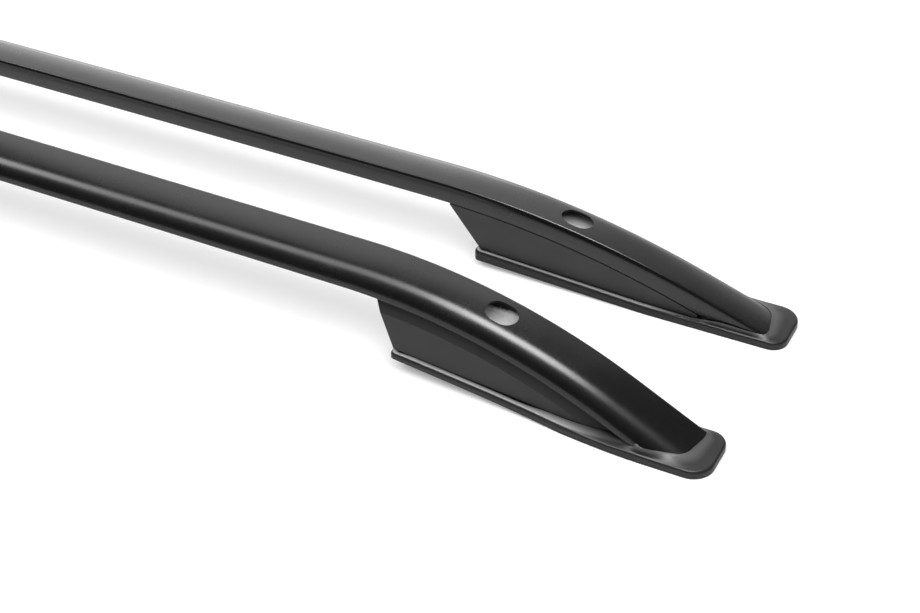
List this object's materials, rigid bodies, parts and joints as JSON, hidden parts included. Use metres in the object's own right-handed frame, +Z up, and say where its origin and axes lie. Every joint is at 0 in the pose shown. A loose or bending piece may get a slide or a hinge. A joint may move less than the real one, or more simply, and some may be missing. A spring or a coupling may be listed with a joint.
{
  "type": "roof side rail pair",
  "caption": "Pair of long black roof side rails, hollow, bent down at both ends onto moulded feet with soft pads, with an oblong bolt slot in the top of each end.",
  "frame": {"origin": "middle of the pair, on the floor the pads lie on", "axes": "+X along the rails to the ends called front, +Y to the rail called left, +Z up"},
  "size_m": [1.8, 0.215, 0.0798],
  "materials": {
    "rail_coat": "satin black coat on an aluminium extrusion, bare inside",
    "foot_moulding": "fine grain, black",
    "pad_rubber": "matt black",
    "sleeve_steel": "zinc plated",
    "screw_steel": "zinc plated"
  },
  "bodies": {
    "root": {"foot_front_left": "foot_moulding", "foot_front_right": "foot_moulding", "foot_rear_left": "foot_moulding", "foot_rear_right": "foot_moulding", "pad_front_left": "pad_rubber", "pad_front_right": "pad_rubber", "pad_rear_left": "pad_rubber", "pad_rear_right": "pad_rubber", "rail_left": "rail_coat", "rail_right": "rail_coat", "screw_aft_front_left": "screw_steel", "screw_aft_front_right": "screw_steel", "screw_aft_rear_left": "screw_steel", "screw_aft_rear_right": "screw_steel", "screw_fore_front_left": "screw_steel", "screw_fore_front_right": "screw_steel", "screw_fore_rear_left": "screw_steel", "screw_fore_rear_right": "screw_steel", "sleeve_front_left": "sleeve_steel", "sleeve_front_right": "sleeve_steel", "sleeve_rear_left": "sleeve_steel", "sleeve_rear_right": "sleeve_steel"}
  },
  "joints": []
}
